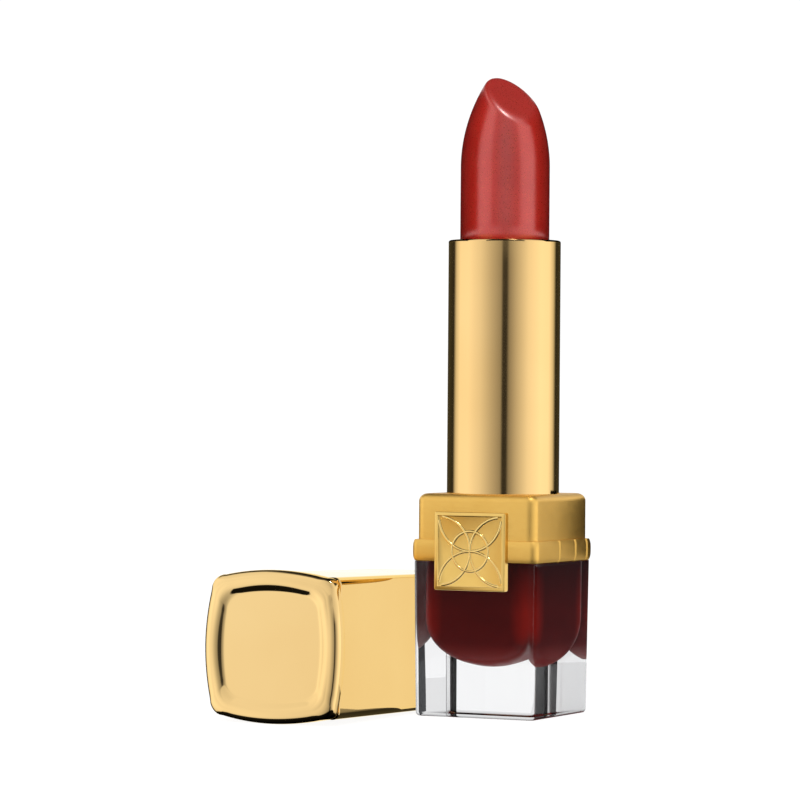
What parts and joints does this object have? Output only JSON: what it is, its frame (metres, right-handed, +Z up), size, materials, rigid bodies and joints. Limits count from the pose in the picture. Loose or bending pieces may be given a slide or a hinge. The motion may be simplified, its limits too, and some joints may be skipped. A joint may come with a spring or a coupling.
{
  "type": "lipstick case",
  "caption": "Square swivel lipstick case, open with the bullet raised: clear base with a coloured inner cup, satin shoulder and plaque, round tube, and a square cap lying beside it.",
  "frame": {"origin": "centre of the flat foot of the clear base", "axes": "+Z up along the tube and bullet; the plaque faces -Y; the lying cap is on the -X side"},
  "size_m": [0.04, 0.048, 0.0911],
  "materials": {
    "clear_acrylic": "polished clear acrylic",
    "shade_red": "gloss",
    "weight_steel": "plain",
    "mechanism_plastic": "moulded",
    "liner_plastic": "moulded",
    "satin_gold": "satin gold anodised",
    "polished_gold": "polished gold anodised",
    "dark_rubber": "matt",
    "lipstick_wax": "shimmering wax"
  },
  "bodies": {
    "case": {"clear_base": "clear_acrylic", "shade_cup": "shade_red", "base_weight": "weight_steel", "guide_socket": "mechanism_plastic", "band_ring": "satin_gold", "collar_shell": "satin_gold", "collar_insert": "mechanism_plastic", "plaque": "satin_gold", "plaque_pad": "dark_rubber", "inner_guide": "mechanism_plastic", "friction_ring": "dark_rubber"},
    "tube": {"outer_tube": "polished_gold", "cam_sleeve": "mechanism_plastic"},
    "bullet": {"carrier_cup": "mechanism_plastic", "lipstick_bullet": "lipstick_wax"},
    "cap": {"cap_sleeve": "polished_gold", "cap_crown": "polished_gold", "cap_weight": "weight_steel", "cap_liner": "liner_plastic"}
  },
  "joints": [
    {"name": "swivel_turn", "type": "hinge", "parent": "case", "child": "tube", "pos_m": [0, 0, 0.03], "axis": [0, 0, 1], "range_deg": [0, 450]},
    {"name": "bullet_lift", "type": "slide", "parent": "case", "child": "bullet", "axis": [0, 0, 1], "range_m": [-0.025, 0]},
    {"name": "cap_draw", "type": "slide", "parent": "case", "child": "cap", "axis": [0, -1, 0], "range_m": [0, 0.05]}
  ],
  "couplings": [
    {"joint": "bullet_lift", "follows": "swivel_turn", "m_per_rad": -0.0031831}
  ]
}
